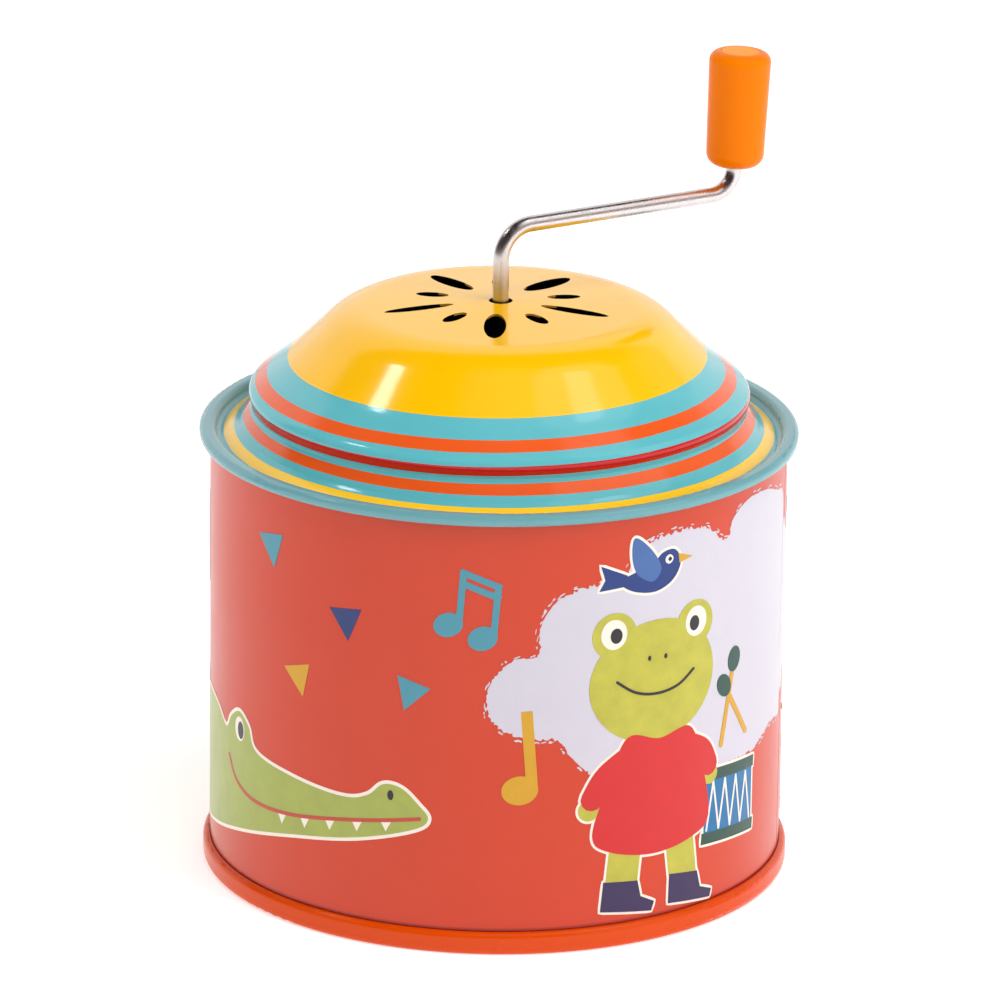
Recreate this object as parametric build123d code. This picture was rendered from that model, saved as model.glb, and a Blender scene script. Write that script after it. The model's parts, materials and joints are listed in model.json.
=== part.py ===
from build123d import *
import os
from math import cos, hypot, pi, radians, sin, tan

# Hand-cranked music tin.  Millimetres, +Z up, origin at the centre of the base plane.
# The -Y side is the front; the crank stands on the tin's own axis.

os.makedirs("parts", exist_ok=True)

# ---- driving dimensions -----------------------------------------------------------------
BODY_R = 36.6        # outside radius of the printed wall
BODY_H = 57.75       # height of the lid's rolled rim
DOME_RISE = 16.15    # from the rim's top to the top of the dome
SHEET = 0.28         # tinplate thickness
WIRE_R = 1.02        # crank wire radius
ARM_LEN = 34.4       # crank arm, from the tin's axis to the pin
ARM_GAP = 9.5        # arm axis above the top of the dome
ARM_AZ = 31.0        # arm direction at rest, degrees from +X towards +Y
PIN_TILT = 2.3       # the pin leans outward by this many degrees
LOWER_BEND = 4.2     # centre-line radii of the crank's two bends
UPPER_BEND = 3.4
KNOB_LEN = 15.0
KNOB_R_TOP = 3.975
KNOB_R_LOW = 3.66
MODULE = 0.6         # worm and drum gear
TEETH = 24
DRUM_R = 6.0         # music drum, without its pins
DRUM_LEN = 17.5
TINES = 18
COMB_X0, COMB_X1 = 3.6, 20.4     # the comb's two ends
TINE_W = 0.76
BUSH_R = 2.22        # crank bush, outside its collar
ARBOR_R = 1.0
TAP_R = 0.95         # screw holes: tapped, and clear
CLEAR_R = 1.1
GAP = 0.04           # left between two inner pieces that touch
FIT = 0.02           # radial gap of a pressed or sliding fit

# ---- derived sizes ----------------------------------------------------------------------
RIM_R = BODY_R + 1.4
HEM_R = BODY_R + 0.9
HEM_H = 2.9
LID_TOP = BODY_H + DOME_RISE
ARM_Z = LID_TOP + ARM_GAP
HOLE_R = WIRE_R + 0.48
RUN = 0.06           # radial running clearance of the crank wire
PITCH = pi * MODULE  # worm lead, single start
WORM_R = 4.0 * MODULE
WORM_TIP = WORM_R + 0.55 / 0.6 * MODULE
WORM_CORE = WORM_R - 0.5 / 0.6 * MODULE
GEAR_R = TEETH * MODULE / 2
GEAR_TIP = GEAR_R + 0.35 / 0.6 * MODULE
GEAR_ROOT = GEAR_R - 0.7 / 0.6 * MODULE
DRUM_Y = WORM_R + GEAR_R
PIN_R = DRUM_R + 0.75            # radius at the tips of the drum's pins
DISC_Z = BODY_H + 0.226 * DOME_RISE  # underside of the carrier disc
PLATE_TOP = DISC_Z - 1.9         # movement frame's plate
PLATE_T = 1.6
PLATE_LOW = PLATE_TOP - PLATE_T
AXIS_Z = PLATE_LOW - 9.4         # height of the drum's axis and of the worm's middle
FOOT_TOP = AXIS_Z - 2.9 * PITCH  # top of the foot that the rod stands in
FOOT_T = 1.5
DRUM_X0 = 3.0
DRUM_X1 = DRUM_X0 + DRUM_LEN
TINE_PITCH = (COMB_X1 - COMB_X0) / TINES
EAR_T = 1.6
EAR_L = -4.2                     # outer face of the left ear
EAR_R = DRUM_X1 + 1.0            # inner face of the right ear
SEAM_AZ = -11.0                  # the wall's lock seam
PIERCE_AZ = 268.5                # front oval of the pierced rosette
PIERCE_X, PIERCE_Y = -0.4, 0.5   # the rosette is pierced slightly off the crank's axis
PETAL_REACH = (5.8, 14.8)        # the five long ovals: inner and outer end
PETAL_WIDTHS = [2.8, 2.0, 2.8, 2.5, 1.8]
SLOT_REACH = (6.6, 10.9)         # the five short ovals between them
SLOT_WIDTH = 1.95
ARM_DIR = Vector(cos(radians(ARM_AZ)), sin(radians(ARM_AZ)), 0)


# ---- helpers ----------------------------------------------------------------------------
def shifted(points, t):
    """The polyline of (x, y, radius) points moved by t to its right, with matching radii."""
    out = []
    n = len(points)
    normals = []
    for (x0, y0, _), (x1, y1, _) in zip(points[:-1], points[1:]):
        d = hypot(x1 - x0, y1 - y0)
        normals.append(((y1 - y0) / d, -(x1 - x0) / d))
    for i, (x, y, r) in enumerate(points):
        if i in (0, n - 1):
            nx, ny = normals[0 if i == 0 else -1]
            out.append((x + t * nx, y + t * ny, 0))
            continue
        (ax, ay), (bx, by) = normals[i - 1], normals[i]
        k = t / (1 + ax * bx + ay * by)
        turn = ax * by - ay * bx          # positive for a left turn
        out.append((x + k * (ax + bx), y + k * (ay + by), max(r + (t if turn > 0 else -t), 0.04)))
    return out


def curve(points):
    return FilletPolyline(*[(x, y) for x, y, _ in points], radius=[r for _, _, r in points[1:-1]])


def sheet_ring(points, t=SHEET):
    """A turned sheet: the surface through points, thickened by t to the right of its path."""
    inner = shifted(points, t)
    a, b = points[0], points[-1]
    c, d = inner[0], inner[-1]
    wire = Wire([*curve(points).edges(), Line((b[0], b[1]), (d[0], d[1])).edge(),
                 *curve(inner).edges(), Line((c[0], c[1]), (a[0], a[1])).edge()])
    return revolve(Plane.XZ * Face(wire), axis=Axis.Z)


def turned(points, plane=Plane.XZ, axis=Axis.Z):
    """A solid of revolution from a closed polygon of (radius, height) points."""
    return revolve(plane * Polygon(*points, align=None), axis=axis)


def tube(r_out, r_in, z0, z1, at=(0, 0)):
    ring = Pos(at[0], at[1], (z0 + z1) / 2) * Cylinder(r_out, z1 - z0)
    return ring - Pos(at[0], at[1], (z0 + z1) / 2) * Cylinder(r_in, z1 - z0 + 1)


def block(x0, x1, y0, y1, z0, z1):
    return Pos((x0 + x1) / 2, (y0 + y1) / 2, (z0 + z1) / 2) * Box(x1 - x0, y1 - y0, z1 - z0)


def rod_x(r, x0, x1, y, z):
    """A cylinder along X."""
    return Pos((x0 + x1) / 2, y, z) * Rot(0, 90, 0) * Cylinder(r, x1 - x0)


def save(shape, node):
    export_step(shape, f"parts/{node}.step")


# ---- the tin ----------------------------------------------------------------------------
def can_body():
    r = BODY_R - SHEET
    shell = sheet_ring([(HEM_R - 0.65, 0.38, 0), (r, 0.38, 0.42), (r, BODY_H - 0.33, 0.45),
                        (RIM_R - 0.65, BODY_H - 0.33, 0)])
    # lock seam: the folded strip stands inside, a shallow groove marks it outside
    low, high = HEM_H + 0.5, BODY_H - 2.2
    seam_h, mid = high - low, (low + high) / 2
    strip = tube(r + 0.1, r - 0.6, low, high)
    strip &= Rot(0, 0, SEAM_AZ) * Pos(BODY_R, 0, mid) * Box(8, 3.2, seam_h)
    groove = Rot(0, 0, SEAM_AZ) * Pos(BODY_R, 1.5, mid) * Box(0.24, 0.3, seam_h)
    return shell + strip - groove


def base_cap():
    r = BODY_R - 0.61
    bead = BODY_R * 0.74
    path = [(r, 2.3, 0.5), (r, 0, 0.55), (HEM_R, 0, 0.75), (HEM_R, HEM_H, 0.75), (BODY_R + 0.08, HEM_H, 0)]
    ring = [(0, 2.3, 0), (bead, 2.3, 0.8), (bead + 0.9, 3.1, 0.8), (bead + 2.7, 3.1, 0.8),
            (bead + 3.6, 2.3, 0.8)]
    return sheet_ring(ring + path, -SHEET)


def petal(r0, r1, width, az):
    """An oval sound hole from r0 to r1 along direction az, cut straight down."""
    oval = Pos((r0 + r1) / 2, 0) * Ellipse((r1 - r0) / 2, width / 2)
    cut = extrude(oval, 12, dir=(0, 0, 1))
    return Pos(PIERCE_X, PIERCE_Y, LID_TOP - 8) * Rot(0, 0, az) * cut


def lid():
    h = BODY_H
    outer = [(HOLE_R, LID_TOP, 0), (0.5484 * BODY_R, LID_TOP - 0.85, 8.0),
             (0.7432 * BODY_R, h + 0.514 * DOME_RISE, 12.0), (BODY_R - 4.65, h + 0.288 * DOME_RISE, 1.3),
             (BODY_R - 5.4, h + 0.152 * DOME_RISE, 0.8), (BODY_R - 3.2, h - 0.25, 3.0),
             (BODY_R - 0.85, h - 1.45, 0.45), (BODY_R - 0.6, h, 0.75), (RIM_R, h, 0.7),
             (RIM_R, h - 1.4, 0.45), (BODY_R + 0.2, h - 1.4, 0)]
    shell = sheet_ring(outer)
    for i, width in enumerate(PETAL_WIDTHS):
        shell -= petal(*PETAL_REACH, width, PIERCE_AZ + 72 * i)
        shell -= petal(*SLOT_REACH, SLOT_WIDTH, PIERCE_AZ + 36 + 72 * i)
    return shell


# ---- what the lid carries inside ----------------------------------------------------------
DISC_R = BODY_R - 5.5
FRAME_SCREWS = [(-8.0, -10.0), (12.0, -2.0), (-8.0, 10.0)]
BLOCK_SCREWS = [(6.5, -12.0), (17.5, -12.0)]


def carrier_disc():
    z = DISC_Z
    bore = BUSH_R + GAP
    body = turned([(bore, z), (DISC_R, z), (DISC_R, z + 0.7), (DISC_R - 0.5, z + 1.2), (6.2, z + 1.2),
                   (4.2, z + 3.2), (4.0, z + 6.6), (bore, z + 6.6)])
    for i in range(6):
        body -= Rot(0, 0, 30 + 60 * i) * Pos(0.66 * DISC_R, 0, z) * Cylinder(0.14 * DISC_R, 4)
    for x, y in FRAME_SCREWS:
        body += tube(2.2, TAP_R, PLATE_TOP + GAP, z + 0.2, (x, y))
        body -= Pos(x, y, z - 1) * Cylinder(TAP_R, 3.6)
    return body


def crank_bush():
    z = DISC_Z
    return turned([(WIRE_R + RUN, z - 0.4), (3.0, z - 0.4), (3.0, z - GAP), (BUSH_R, z - GAP),
                   (BUSH_R, z + 6.8), (WIRE_R + RUN, z + 6.8)])


def ear(x0):
    """A cheek of the frame that carries one end of the drum's arbor."""
    plate = block(x0, x0 + EAR_T, DRUM_Y - 3.6, DRUM_Y + 3.6, AXIS_Z, PLATE_LOW + 0.4)
    return plate + rod_x(3.6, x0, x0 + EAR_T, DRUM_Y, AXIS_Z)


def movement_frame():
    x0, x1 = -11.0, EAR_R + EAR_T + 0.9
    y0, y1 = -16.0, DRUM_Y + 4.4
    plate = block(x0, x1, y0, y1, PLATE_LOW, PLATE_TOP)
    plate = fillet(plate.edges().filter_by(Axis.Z), 3.0)
    back = block(-3.2, 3.2, -6.5, -5.0, FOOT_TOP - FOOT_T, PLATE_LOW + 0.4)
    foot = block(-3.2, 3.2, -6.5, 0, FOOT_TOP - FOOT_T, FOOT_TOP)
    foot += Pos(0, 0, FOOT_TOP - FOOT_T / 2) * Cylinder(3.2, FOOT_T)
    shape = plate + back + foot + ear(EAR_L) + ear(EAR_R)
    shape -= Pos(0, 0, PLATE_LOW) * Cylinder(WORM_TIP + 0.35, 2 * PLATE_T + 2)
    shape -= Pos(0, 0, FOOT_TOP) * Cylinder(WIRE_R + RUN, 4)
    shape -= rod_x(ARBOR_R + 0.05, EAR_L - 1, EAR_R + EAR_T + 1, DRUM_Y, AXIS_Z)
    for x, y in FRAME_SCREWS + BLOCK_SCREWS:
        shape -= Pos(x, y, PLATE_TOP) * Cylinder(CLEAR_R, 6)
    return shape


COMB_BACK = -15.2                # rear edge of the comb and of its block
COMB_TOP, COMB_LOW = 0.5, 0.45   # the comb's faces above and below the drum's axis


def tine_x(i):
    """The middle of tine i, which is also its track of pins on the drum."""
    return COMB_X0 + (i + 0.5) * TINE_PITCH


def comb_block():
    body = block(COMB_X0 - 0.2, COMB_X1 + 0.2, COMB_BACK, -8.8, AXIS_Z + COMB_TOP + 0.05, PLATE_LOW - GAP)
    body = chamfer(body.edges().filter_by(Axis.Z), 0.6)
    for x, y in BLOCK_SCREWS:
        body -= Pos(x, y, AXIS_Z) * Cylinder(TAP_R, 40)
    return body


def comb():
    """Steel comb under the block; each tine ends just short of the drum's pins."""
    root_y, tip_y = -6.0, DRUM_Y - PIN_R - 0.2
    body = block(COMB_X0, COMB_X1, COMB_BACK, root_y, AXIS_Z - COMB_LOW, AXIS_Z + COMB_TOP)
    for i in range(TINES):
        x = tine_x(i)
        body += block(x - TINE_W / 2, x + TINE_W / 2, root_y - 0.2, tip_y, AXIS_Z - 0.2, AXIS_Z + 0.2)
    for x, y in BLOCK_SCREWS:
        body -= Pos(x, y, AXIS_Z) * Cylinder(CLEAR_R, 4)
    return body


def screw(at, z_head, length, up):
    """Pan-head screw; its shank runs up or down from the head's seat at z_head."""
    s = 1 if up else -1
    prof = [(0, z_head - s * 0.95), (1.5, z_head - s * 0.95), (1.8, z_head - s * 0.6), (1.8, z_head),
            (0.9, z_head), (0.9, z_head + s * (length - 0.4)), (0.55, z_head + s * length),
            (0, z_head + s * length)]
    return Pos(at[0], at[1], 0) * (turned(prof) - Pos(0, 0, z_head - s * 0.95) * Box(2.6, 0.4, 0.8))


def thrust_washer():
    return tube(2.4, WIRE_R + 0.1, FOOT_TOP + GAP, FOOT_TOP + GAP + 0.4)


# ---- crank ------------------------------------------------------------------------------
PIN_FOOT = ARM_DIR * ARM_LEN + Vector(0, 0, ARM_Z)
PIN_DIR = ARM_DIR * sin(radians(PIN_TILT)) + Vector(0, 0, cos(radians(PIN_TILT)))
KNOB_BASE = 3.55                 # knob's lower face above the arm's axis, along the pin
PIN_LEN = KNOB_BASE + KNOB_LEN - 2.1
PIN_PLANE = Plane(origin=PIN_FOOT, x_dir=Vector(-ARM_DIR.Y, ARM_DIR.X, 0), z_dir=PIN_DIR)


def crank_rod():
    """One bent wire: down through the lid to the foot, out along the arm, up as the pin."""
    plane = Plane(origin=(0, 0, 0), x_dir=ARM_DIR, z_dir=(ARM_DIR.Y, -ARM_DIR.X, 0))
    tip = PIN_LEN
    path = FilletPolyline((0, FOOT_TOP - FOOT_T + 0.2), (0, ARM_Z), (ARM_LEN, ARM_Z),
                          (ARM_LEN + tip * sin(radians(PIN_TILT)), ARM_Z + tip * cos(radians(PIN_TILT))),
                          radius=[LOWER_BEND, UPPER_BEND])
    path = plane * path
    rod = sweep(Plane(origin=path @ 0, z_dir=path % 0) * Circle(WIRE_R), path=path)
    ends = rod.faces().filter_by(GeomType.PLANE).edges()
    return chamfer(ends, 0.2)


def crank_worm():
    """Right-hand single-start worm; its thread crosses the +Y side at AXIS_Z at rest."""
    half = PITCH / 4 - 0.11
    slope = tan(radians(20))
    root = WORM_CORE - 0.15
    sec = [(root, half + slope * (WORM_R - root)), (WORM_TIP, half - slope * (WORM_TIP - WORM_R)),
           (WORM_TIP, -half + slope * (WORM_TIP - WORM_R)), (root, -half - slope * (WORM_R - root))]
    turns = 4.5
    path = Helix(pitch=PITCH, height=turns * PITCH, radius=WORM_R)
    thread = sweep(Plane.XZ * Polygon(*sec, align=None), path=path, is_frenet=True)
    thread = Pos(0, 0, AXIS_Z - 2.25 * PITCH) * thread
    core = tube(WORM_CORE, WIRE_R + FIT, FOOT_TOP + 0.74, AXIS_Z + 2.7 * PITCH)
    return core + thread


def crank_collar():
    return tube(2.6, WIRE_R + FIT, PLATE_TOP + 0.3, DISC_Z - 0.7)


def on_pin(shape):
    return PIN_PLANE.location * shape


def pin_washer():
    z = KNOB_BASE + KNOB_LEN - 2.9
    return on_pin(tube(1.9, WIRE_R + FIT, z, z + 0.4))


CUP_R = 2.5                      # pocket in the knob's top, closed by its plug


def knob_body():
    z0, z1 = KNOB_BASE, KNOB_BASE + KNOB_LEN
    bore, cup = WIRE_R + 0.08, CUP_R
    outline = curve([(bore, z0, 0), (KNOB_R_LOW, z0, 1.7), (KNOB_R_TOP, z1, 1.3), (cup, z1, 0)])
    inside = Polyline((cup, z1), (cup, z1 - 3.2), (bore, z1 - 3.2), (bore, z0))
    face = Face(Wire([*outline.edges(), *inside.edges()]))
    return on_pin(revolve(Plane.XZ * face, axis=Axis.Z))


def knob_cap():
    z1 = KNOB_BASE + KNOB_LEN
    plug = CUP_R - FIT
    return on_pin(turned([(0, z1 - 1.3), (plug, z1 - 1.3), (plug, z1 - 0.06), (plug - 0.06, z1), (0, z1)]))


# ---- drum -------------------------------------------------------------------------------
DRUM_WALL = 0.5
GOLDEN_ANGLE = 137.508           # spreads the pins evenly round the drum


def drum_sleeve():
    """Tube with a pattern of tune pins, one track of pins in front of each tine."""
    x_mid = (DRUM_X0 + DRUM_X1) / 2
    shape = Pos(x_mid, DRUM_Y, AXIS_Z) * Rot(0, 90, 0) * (
        Cylinder(DRUM_R, DRUM_LEN) - Cylinder(DRUM_R - DRUM_WALL, DRUM_LEN + 1))
    pins = []
    for i in range(3 * TINES):
        angle = GOLDEN_ANGLE * i + 21
        pin = Pos(0, 0, (DRUM_R - 0.3 + PIN_R) / 2) * Cylinder(0.22, PIN_R - DRUM_R + 0.3)
        pins.append(Pos(tine_x(i % TINES), DRUM_Y, AXIS_Z) * Rot(angle, 0, 0) * pin)
    return shape + pins


def drum_end_cap(x0):
    disc = rod_x(DRUM_R - DRUM_WALL - GAP, x0, x0 + 1, DRUM_Y, AXIS_Z)
    return disc - rod_x(ARBOR_R + FIT, x0 - 1, x0 + 2, DRUM_Y, AXIS_Z)


def drum_gear():
    """Spur gear with thinned teeth; at rest a gap faces the worm, towards -Y."""
    face = Circle(GEAR_ROOT)
    wide, thin = 0.75 * MODULE, 0.32 * MODULE
    tooth = Polygon((GEAR_ROOT - 0.3, wide), (GEAR_TIP, thin), (GEAR_TIP, -thin),
                    (GEAR_ROOT - 0.3, -wide), align=None)
    for i in range(TEETH):
        face += Rot(0, 0, (i + 0.5) * 360 / TEETH) * tooth
    face -= [Rot(0, 0, 72 * i) * Pos(0.58 * GEAR_R, 0) * Circle(0.13 * GEAR_R) for i in range(5)]
    rim = extrude(face, 0.8, both=True)
    # local x points to -Y of the tin, local z along +X
    place = Plane(origin=(0, DRUM_Y, AXIS_Z), x_dir=(0, -1, 0), z_dir=(1, 0, 0)).location
    rim = place * rim
    hub = rod_x(2.2, -1.6, 2.6, DRUM_Y, AXIS_Z)
    return rim + hub - rod_x(ARBOR_R + FIT, -3, 5, DRUM_Y, AXIS_Z)


def drum_arbor():
    shaft = rod_x(ARBOR_R, EAR_L - 1.0, EAR_R + EAR_T + 1.0, DRUM_Y, AXIS_Z)
    return chamfer(shaft.edges().filter_by(GeomType.CIRCLE), 0.2)


def arbor_clip(x0):
    ring = rod_x(1.9, x0, x0 + 0.4, DRUM_Y, AXIS_Z)
    ring -= rod_x(ARBOR_R + FIT, x0 - 1, x0 + 2, DRUM_Y, AXIS_Z)
    return ring - block(x0 - 1, x0 + 2, DRUM_Y - 0.55, DRUM_Y + 0.55, AXIS_Z, AXIS_Z + 4)


# ---- write the nodes ----------------------------------------------------------------------
save(can_body(), "can_body")
save(lid(), "lid")
save(base_cap(), "base_cap")
save(carrier_disc(), "carrier_disc")
save(crank_bush(), "crank_bush")
save(movement_frame(), "movement_frame")
save(comb_block(), "comb_block")
save(comb(), "comb")
for n, at in enumerate(BLOCK_SCREWS, 1):
    save(screw(at, AXIS_Z - 0.49, 4.6, True), f"comb_screw_{n}")
    save(screw(at, PLATE_TOP + 0.04, 5.0, False), f"block_screw_{n}")
for n, at in enumerate(FRAME_SCREWS, 1):
    save(screw(at, PLATE_LOW - 0.04, 3.9, True), f"frame_screw_{n}")
save(thrust_washer(), "thrust_washer")
save(crank_rod(), "crank_rod")
save(crank_worm(), "crank_worm")
save(crank_collar(), "crank_collar")
save(pin_washer(), "pin_washer")
save(knob_body(), "knob_body")
save(knob_cap(), "knob_cap")
save(drum_sleeve(), "drum_sleeve")
save(drum_end_cap(DRUM_X0 + 0.2), "drum_end_cap_left")
save(drum_end_cap(DRUM_X1 - 1.2), "drum_end_cap_right")
save(drum_gear(), "drum_gear")
save(drum_arbor(), "drum_arbor")
save(arbor_clip(EAR_L - 0.7), "arbor_clip_left")
save(arbor_clip(EAR_R + EAR_T + 0.3), "arbor_clip_right")
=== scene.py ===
import json
import math
import random

import bpy
from mathutils import Matrix, Vector
from mathutils.geometry import delaunay_2d_cdt


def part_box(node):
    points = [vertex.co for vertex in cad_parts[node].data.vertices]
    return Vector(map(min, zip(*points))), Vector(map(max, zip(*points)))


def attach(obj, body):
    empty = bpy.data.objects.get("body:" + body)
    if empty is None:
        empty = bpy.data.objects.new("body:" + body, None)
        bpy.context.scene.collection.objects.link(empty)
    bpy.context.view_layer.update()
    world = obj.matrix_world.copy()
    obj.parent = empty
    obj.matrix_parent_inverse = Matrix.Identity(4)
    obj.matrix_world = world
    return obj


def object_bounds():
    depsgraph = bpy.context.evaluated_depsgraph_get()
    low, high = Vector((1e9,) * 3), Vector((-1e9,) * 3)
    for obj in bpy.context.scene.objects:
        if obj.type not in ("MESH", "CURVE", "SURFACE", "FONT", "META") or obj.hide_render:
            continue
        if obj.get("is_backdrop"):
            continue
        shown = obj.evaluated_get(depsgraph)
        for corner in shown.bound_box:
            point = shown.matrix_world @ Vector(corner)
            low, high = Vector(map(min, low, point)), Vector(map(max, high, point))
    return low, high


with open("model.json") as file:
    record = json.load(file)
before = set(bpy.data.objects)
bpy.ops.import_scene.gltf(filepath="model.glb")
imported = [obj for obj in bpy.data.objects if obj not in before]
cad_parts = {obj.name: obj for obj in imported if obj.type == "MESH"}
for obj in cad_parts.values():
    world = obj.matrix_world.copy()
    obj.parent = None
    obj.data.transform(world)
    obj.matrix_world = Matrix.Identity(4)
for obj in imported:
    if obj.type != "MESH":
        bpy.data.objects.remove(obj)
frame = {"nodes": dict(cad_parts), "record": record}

cad_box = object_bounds()

# ---- sizes, in metres, from the frame --------------------------------------------------------
MM = 0.001
LID_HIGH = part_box("lid")[1]
WALL_R = LID_HIGH.x - 1.4 * MM       # the printed wall stands inside the rolled rim
WALL_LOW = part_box("base_cap")[0].z
HEM_TOP = WALL_LOW + 2.9 * MM
RIM_TOP = LID_HIGH.z - 16.15 * MM    # the dome rises by this from the rim
PIERCED_R = 16 * MM                  # every sound hole lies inside this radius
SEAM_S = 50.3                        # the wall's lock seam, millimetres round from the front
SEAM_GAP = 0.4                       # the print starts again this many millimetres past the seam

# ---- studio ------------------------------------------------------------------------------------
CAMERA_AIM = Vector((0.00022, 0, 0.0474))
CAMERA_TILT = 18.3                   # the camera looks down by this many degrees
CAMERA_AWAY = 1.0
CAMERA_ROLL = 0.7
LENS_LENGTH = 283.2
FLOOR_HALF = 3.0
FLOOR_GLOW = 0.42                    # keeps the pale floor near white
STUDIO_DIM = (0.035, 0.026, 0.028, 1)
STUDIO_SCREEN = (0.5, 0.42, 0.4, 1)
STUDIO_WHITE = (1.0, 1.0, 1.0, 1)
BACKDROP_SKEW = 0.15                 # the backdrop is turned a little to the left
BACKDROP_EDGE = (0.5, 0.6)           # soft edges in a unit direction: where one starts, where it is full
SCREEN_SIDE = (0.3, 0.65)
SCREEN_TOP = (0.75, 0.55)


# ---- colours, as seen on a screen ----------------------------------------------------------
def screen(red, green, blue):
    """A linear colour from 0-255 screen values."""
    def linear(c):
        c /= 255
        return c / 12.92 if c <= 0.04045 else ((c + 0.055) / 1.055) ** 2.4
    return (linear(red), linear(green), linear(blue), 1.0)


WALL_RED = screen(200, 56, 17)
TEAL = screen(94, 183, 192)
# painted shade: a darker copy of TEAL for the rim's dim reflection
RIM_SHADED_TEAL = screen(105, 160, 167)
DOME_YELLOW = screen(252, 190, 0)
RING_ORANGE = screen(232, 90, 30)
RING_RED = screen(196, 14, 18)
RING_GOLD = screen(254, 202, 42)
HEM_ORANGE = screen(213, 71, 2)
KNOB_ORANGE = screen(238, 121, 0)
PLUG_ORANGE = screen(248, 152, 4)
CLOUD = screen(201, 197, 208)
NAVY = screen(34, 53, 110)
# painted shade: the dark red laid into the fold above the hem
FOLD_PAINTED_SHADE = screen(150, 24, 12)
CUT_EDGE = screen(176, 128, 48)
FROG_GREEN = screen(181, 176, 60)
CROC_GREEN = screen(158, 168, 76)
JUMPER_RED = screen(202, 27, 29)
SHOE_NAVY = screen(48, 32, 78)
NOTE_GOLD = screen(205, 153, 26)
NOTE_TEAL = screen(70, 142, 160)
BIRD_BLUE = screen(24, 52, 120)
WING_BLUE = screen(64, 100, 160)
DRUM_BLUE = screen(0, 106, 160)
DEEP_GREEN = screen(28, 70, 58)
CREAM = screen(238, 228, 214)
INK_BLACK = screen(34, 30, 34)
MOUTH_RED = screen(186, 70, 48)
TIN_GREY = (0.56, 0.57, 0.58, 1)     # this and the next are metals and plastics, in linear values
CHROME = (0.7, 0.66, 0.65, 1)
ZINC = (0.42, 0.43, 0.45, 1)
PLATED_STEEL = (0.6, 0.61, 0.63, 1)
GROUND_STEEL = (0.46, 0.47, 0.49, 1)
BRASS = (0.8, 0.58, 0.22, 1)
CARRIER_BLACK = (0.02, 0.02, 0.022, 1)
NYLON = (0.8, 0.78, 0.7, 1)


# ---- shader helpers --------------------------------------------------------------------------
def add(tree, kind, inputs=None, **settings):
    """A node with its settings, and its inputs either set or linked."""
    node = tree.nodes.new(kind)
    for key, value in settings.items():
        setattr(node, key, value)
    for key, value in (inputs or {}).items():
        feed(tree, value, node.inputs[key])
    return node


def feed(tree, value, socket):
    if isinstance(value, bpy.types.NodeSocket):
        tree.links.new(value, socket)
    else:
        socket.default_value = value


def maths(tree, operation, a, b=0.0):
    return add(tree, "ShaderNodeMath", {0: a, 1: b}, operation=operation).outputs[0]


def vector(tree, operation, a, b=(0, 0, 0)):
    return add(tree, "ShaderNodeVectorMath", {0: a, 1: b}, operation=operation).outputs


def blend(tree, factor, a, b):
    """Colour a, turning into colour b as the factor goes to 1."""
    node = add(tree, "ShaderNodeMix", {"Factor": factor}, data_type="RGBA")
    feed(tree, a, node.inputs[6])
    feed(tree, b, node.inputs[7])
    return node.outputs[2]


def between(tree, value, low, high, to_low=0.0, to_high=1.0):
    """A soft step: to_low where the value is low, to_high where it is high."""
    limits = {"Value": value, "From Min": low, "From Max": high, "To Min": to_low, "To Max": to_high}
    return add(tree, "ShaderNodeMapRange", limits, interpolation_type="SMOOTHSTEP").outputs[0]


def new_group(name, inputs, outputs):
    """An empty shader group; inputs and outputs are (name, kind, default) and (name, kind)."""
    tree = bpy.data.node_groups.new(name, "ShaderNodeTree")
    for label, kind, default in inputs:
        socket = tree.interface.new_socket(label, in_out="INPUT", socket_type="NodeSocket" + kind)
        socket.default_value = default
    for label, kind in outputs:
        tree.interface.new_socket(label, in_out="OUTPUT", socket_type="NodeSocket" + kind)
    return tree, tree.nodes.new("NodeGroupInput").outputs, tree.nodes.new("NodeGroupOutput").inputs


def place(tree, group, inputs=None):
    node = tree.nodes.new("ShaderNodeGroup")
    node.node_tree = group
    for key, value in (inputs or {}).items():
        feed(tree, value, node.inputs[key])
    return node.outputs


# ---- shared effects ----------------------------------------------------------------------------
def ink_mottle_group():
    """Offset ink: a faint cloudiness and a fine paper-like grain in the colour."""
    inputs = [("Colour", "Color", (1, 1, 1, 1)), ("Cloudiness", "Float", 0.05), ("Grain", "Float", 0.03),
              ("Size mm", "Float", 6.0)]
    tree, given, out = new_group("ink_mottle", inputs, [("Colour", "Color")])
    where = tree.nodes.new("ShaderNodeTexCoord").outputs["Object"]
    cloud_scale = maths(tree, "DIVIDE", 1 / MM, given["Size mm"])
    cloudy = add(tree, "ShaderNodeTexNoise", {"Vector": where, "Scale": cloud_scale, "Detail": 3.0,
                                              "Roughness": 0.55}).outputs["Fac"]
    grain = add(tree, "ShaderNodeTexNoise", {"Vector": where, "Scale": 4200.0, "Detail": 2.0}).outputs["Fac"]
    swing = maths(tree, "MULTIPLY", maths(tree, "SUBTRACT", cloudy, 0.5), given["Cloudiness"])
    fleck = maths(tree, "MULTIPLY", maths(tree, "SUBTRACT", grain, 0.5), given["Grain"])
    value = maths(tree, "ADD", 1.0, maths(tree, "ADD", swing, fleck))
    toned = add(tree, "ShaderNodeHueSaturation", {"Color": given["Colour"], "Value": value})
    feed(tree, toned.outputs[0], out["Colour"])
    return tree


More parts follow.
